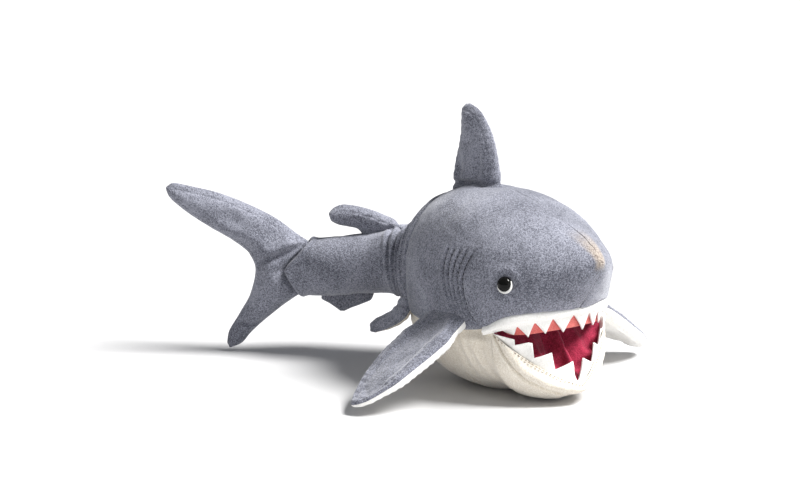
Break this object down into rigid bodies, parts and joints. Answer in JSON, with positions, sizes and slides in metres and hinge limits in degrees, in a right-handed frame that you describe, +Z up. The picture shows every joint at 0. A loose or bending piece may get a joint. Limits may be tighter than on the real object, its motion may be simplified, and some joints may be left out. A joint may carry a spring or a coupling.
{
  "type": "plush shark",
  "caption": "Stuffed plush shark with a velour back, pale belly, sewn fins, safety eyes, felt teeth and a lined mouth whose lower jaw opens and closes.",
  "frame": {"origin": "middle of the box round the shark, on the surface that its belly and chin lie on", "axes": "+X from tail to nose along the head and trunk, +Y to the shark's left, +Z up; at rest the tail is swung to the shark's right"},
  "size_m": [0.4083, 0.3449, 0.2449],
  "materials": {
    "grey_velour": "short-pile grey velour, soft sheen, fine mottled nap",
    "cream_plush": "cream short-pile plush, soft creases",
    "white_plush": "white short-pile plush",
    "white_felt": "stiff white felt, cut edges",
    "gum_felt": "salmon-red felt",
    "mouth_velour": "dark burgundy velour, soft sheen",
    "fibre_fill": "white polyester fibre filling",
    "eye_plastic": "glossy black safety eye",
    "pale_plastic": "pale moulded plastic",
    "gill_thread": "dark grey sewing thread"
  },
  "bodies": {
    "torso": {"back_skin_left": "grey_velour", "back_skin_right": "grey_velour", "belly_skin": "cream_plush", "upper_lip_band": "white_plush", "mouth_palate_lining": "mouth_velour", "body_stuffing": "fibre_fill", "upper_gum_strip": "gum_felt", "upper_teeth_strip": "white_felt", "eye_left": "eye_plastic", "eye_right": "eye_plastic", "eye_disc_left": "pale_plastic", "eye_disc_right": "pale_plastic", "eye_washer_left": "pale_plastic", "eye_washer_right": "pale_plastic", "gill_thread_left_1": "gill_thread", "gill_thread_left_2": "gill_thread", "gill_thread_left_3": "gill_thread", "gill_thread_left_4": "gill_thread", "gill_thread_left_5": "gill_thread", "gill_thread_right_1": "gill_thread", "gill_thread_right_2": "gill_thread", "gill_thread_right_3": "gill_thread", "gill_thread_right_4": "gill_thread", "gill_thread_right_5": "gill_thread"},
    "lower_jaw": {"lower_jaw_skin": "cream_plush", "lower_jaw_lining": "mouth_velour", "lower_jaw_stuffing": "fibre_fill", "lower_teeth_strip": "white_felt"},
    "tail_stock": {"tail_skin_left": "grey_velour", "tail_skin_right": "grey_velour", "tail_stuffing": "fibre_fill"},
    "caudal_fin": {"caudal_panel_left": "grey_velour", "caudal_panel_right": "grey_velour", "caudal_wadding": "fibre_fill"},
    "dorsal_fin": {"dorsal_panel_left": "grey_velour", "dorsal_panel_right": "grey_velour", "dorsal_wadding": "fibre_fill"},
    "second_dorsal_fin": {"second_dorsal_panel_left": "grey_velour", "second_dorsal_panel_right": "grey_velour", "second_dorsal_wadding": "fibre_fill"},
    "anal_fin": {"anal_panel_left": "grey_velour", "anal_panel_right": "grey_velour", "anal_wadding": "fibre_fill"},
    "pectoral_fin_left": {"pectoral_top_left": "grey_velour", "pectoral_under_left": "cream_plush", "pectoral_wadding_left": "fibre_fill"},
    "pelvic_fin_left": {"pelvic_top_left": "grey_velour", "pelvic_under_left": "cream_plush", "pelvic_wadding_left": "fibre_fill"},
    "pectoral_fin_right": {"pectoral_top_right": "grey_velour", "pectoral_under_right": "cream_plush", "pectoral_wadding_right": "fibre_fill"},
    "pelvic_fin_right": {"pelvic_top_right": "grey_velour", "pelvic_under_right": "cream_plush", "pelvic_wadding_right": "fibre_fill"}
  },
  "joints": [
    {"name": "waist_swing", "type": "hinge", "parent": "torso", "child": "tail_stock", "pos_m": [-0.02223, -0.00763, 0.092], "axis": [0, 0, 1], "range_deg": [-50, 20], "stiffness_Nm_per_rad": 0.06},
    {"name": "caudal_swing", "type": "hinge", "parent": "tail_stock", "child": "caudal_fin", "pos_m": [-0.11837, -0.08365, 0.082], "axis": [0, 0, 1], "range_deg": [-30, 30], "stiffness_Nm_per_rad": 0.03},
    {"name": "jaw_hinge", "type": "hinge", "parent": "torso", "child": "lower_jaw", "pos_m": [0.13825, 0.0013, 0.066], "axis": [0, -1, 0], "range_deg": [-5, 35], "stiffness_Nm_per_rad": 0.08},
    {"name": "dorsal_flop", "type": "hinge", "parent": "torso", "child": "dorsal_fin", "pos_m": [0.04475, 0.0013, 0.1855], "axis": [0.995, 0, 0.0998], "range_deg": [-25, 25], "stiffness_Nm_per_rad": 0.05},
    {"name": "second_dorsal_flop", "type": "hinge", "parent": "tail_stock", "child": "second_dorsal_fin", "pos_m": [-0.0659, -0.03155, 0.1265], "axis": [0.7733, 0.6021, 0.1987], "range_deg": [-25, 25], "stiffness_Nm_per_rad": 0.02},
    {"name": "anal_flop", "type": "hinge", "parent": "tail_stock", "child": "anal_fin", "pos_m": [-0.08572, -0.04984, 0.053], "axis": [0.6947, 0.7193, 0], "range_deg": [-20, 20], "stiffness_Nm_per_rad": 0.02},
    {"name": "pectoral_flap_left", "type": "hinge", "parent": "torso", "child": "pectoral_fin_left", "pos_m": [0.08375, 0.0843, 0.061], "axis": [0.9919, 0.0795, 0.0995], "range_deg": [-8, 35], "stiffness_Nm_per_rad": 0.08},
    {"name": "pelvic_flap_left", "type": "hinge", "parent": "torso", "child": "pelvic_fin_left", "pos_m": [0.01275, 0.0653, 0.057], "axis": [0.9879, 0.1191, 0.0995], "range_deg": [-8, 20], "stiffness_Nm_per_rad": 0.02},
    {"name": "pectoral_flap_right", "type": "hinge", "parent": "torso", "child": "pectoral_fin_right", "pos_m": [0.08375, -0.0817, 0.061], "axis": [-0.9919, 0.0795, -0.0995], "range_deg": [-8, 35], "stiffness_Nm_per_rad": 0.08},
    {"name": "pelvic_flap_right", "type": "hinge", "parent": "torso", "child": "pelvic_fin_right", "pos_m": [0.01275, -0.0627, 0.057], "axis": [-0.9879, 0.1191, -0.0995], "range_deg": [-8, 20], "stiffness_Nm_per_rad": 0.02}
  ]
}
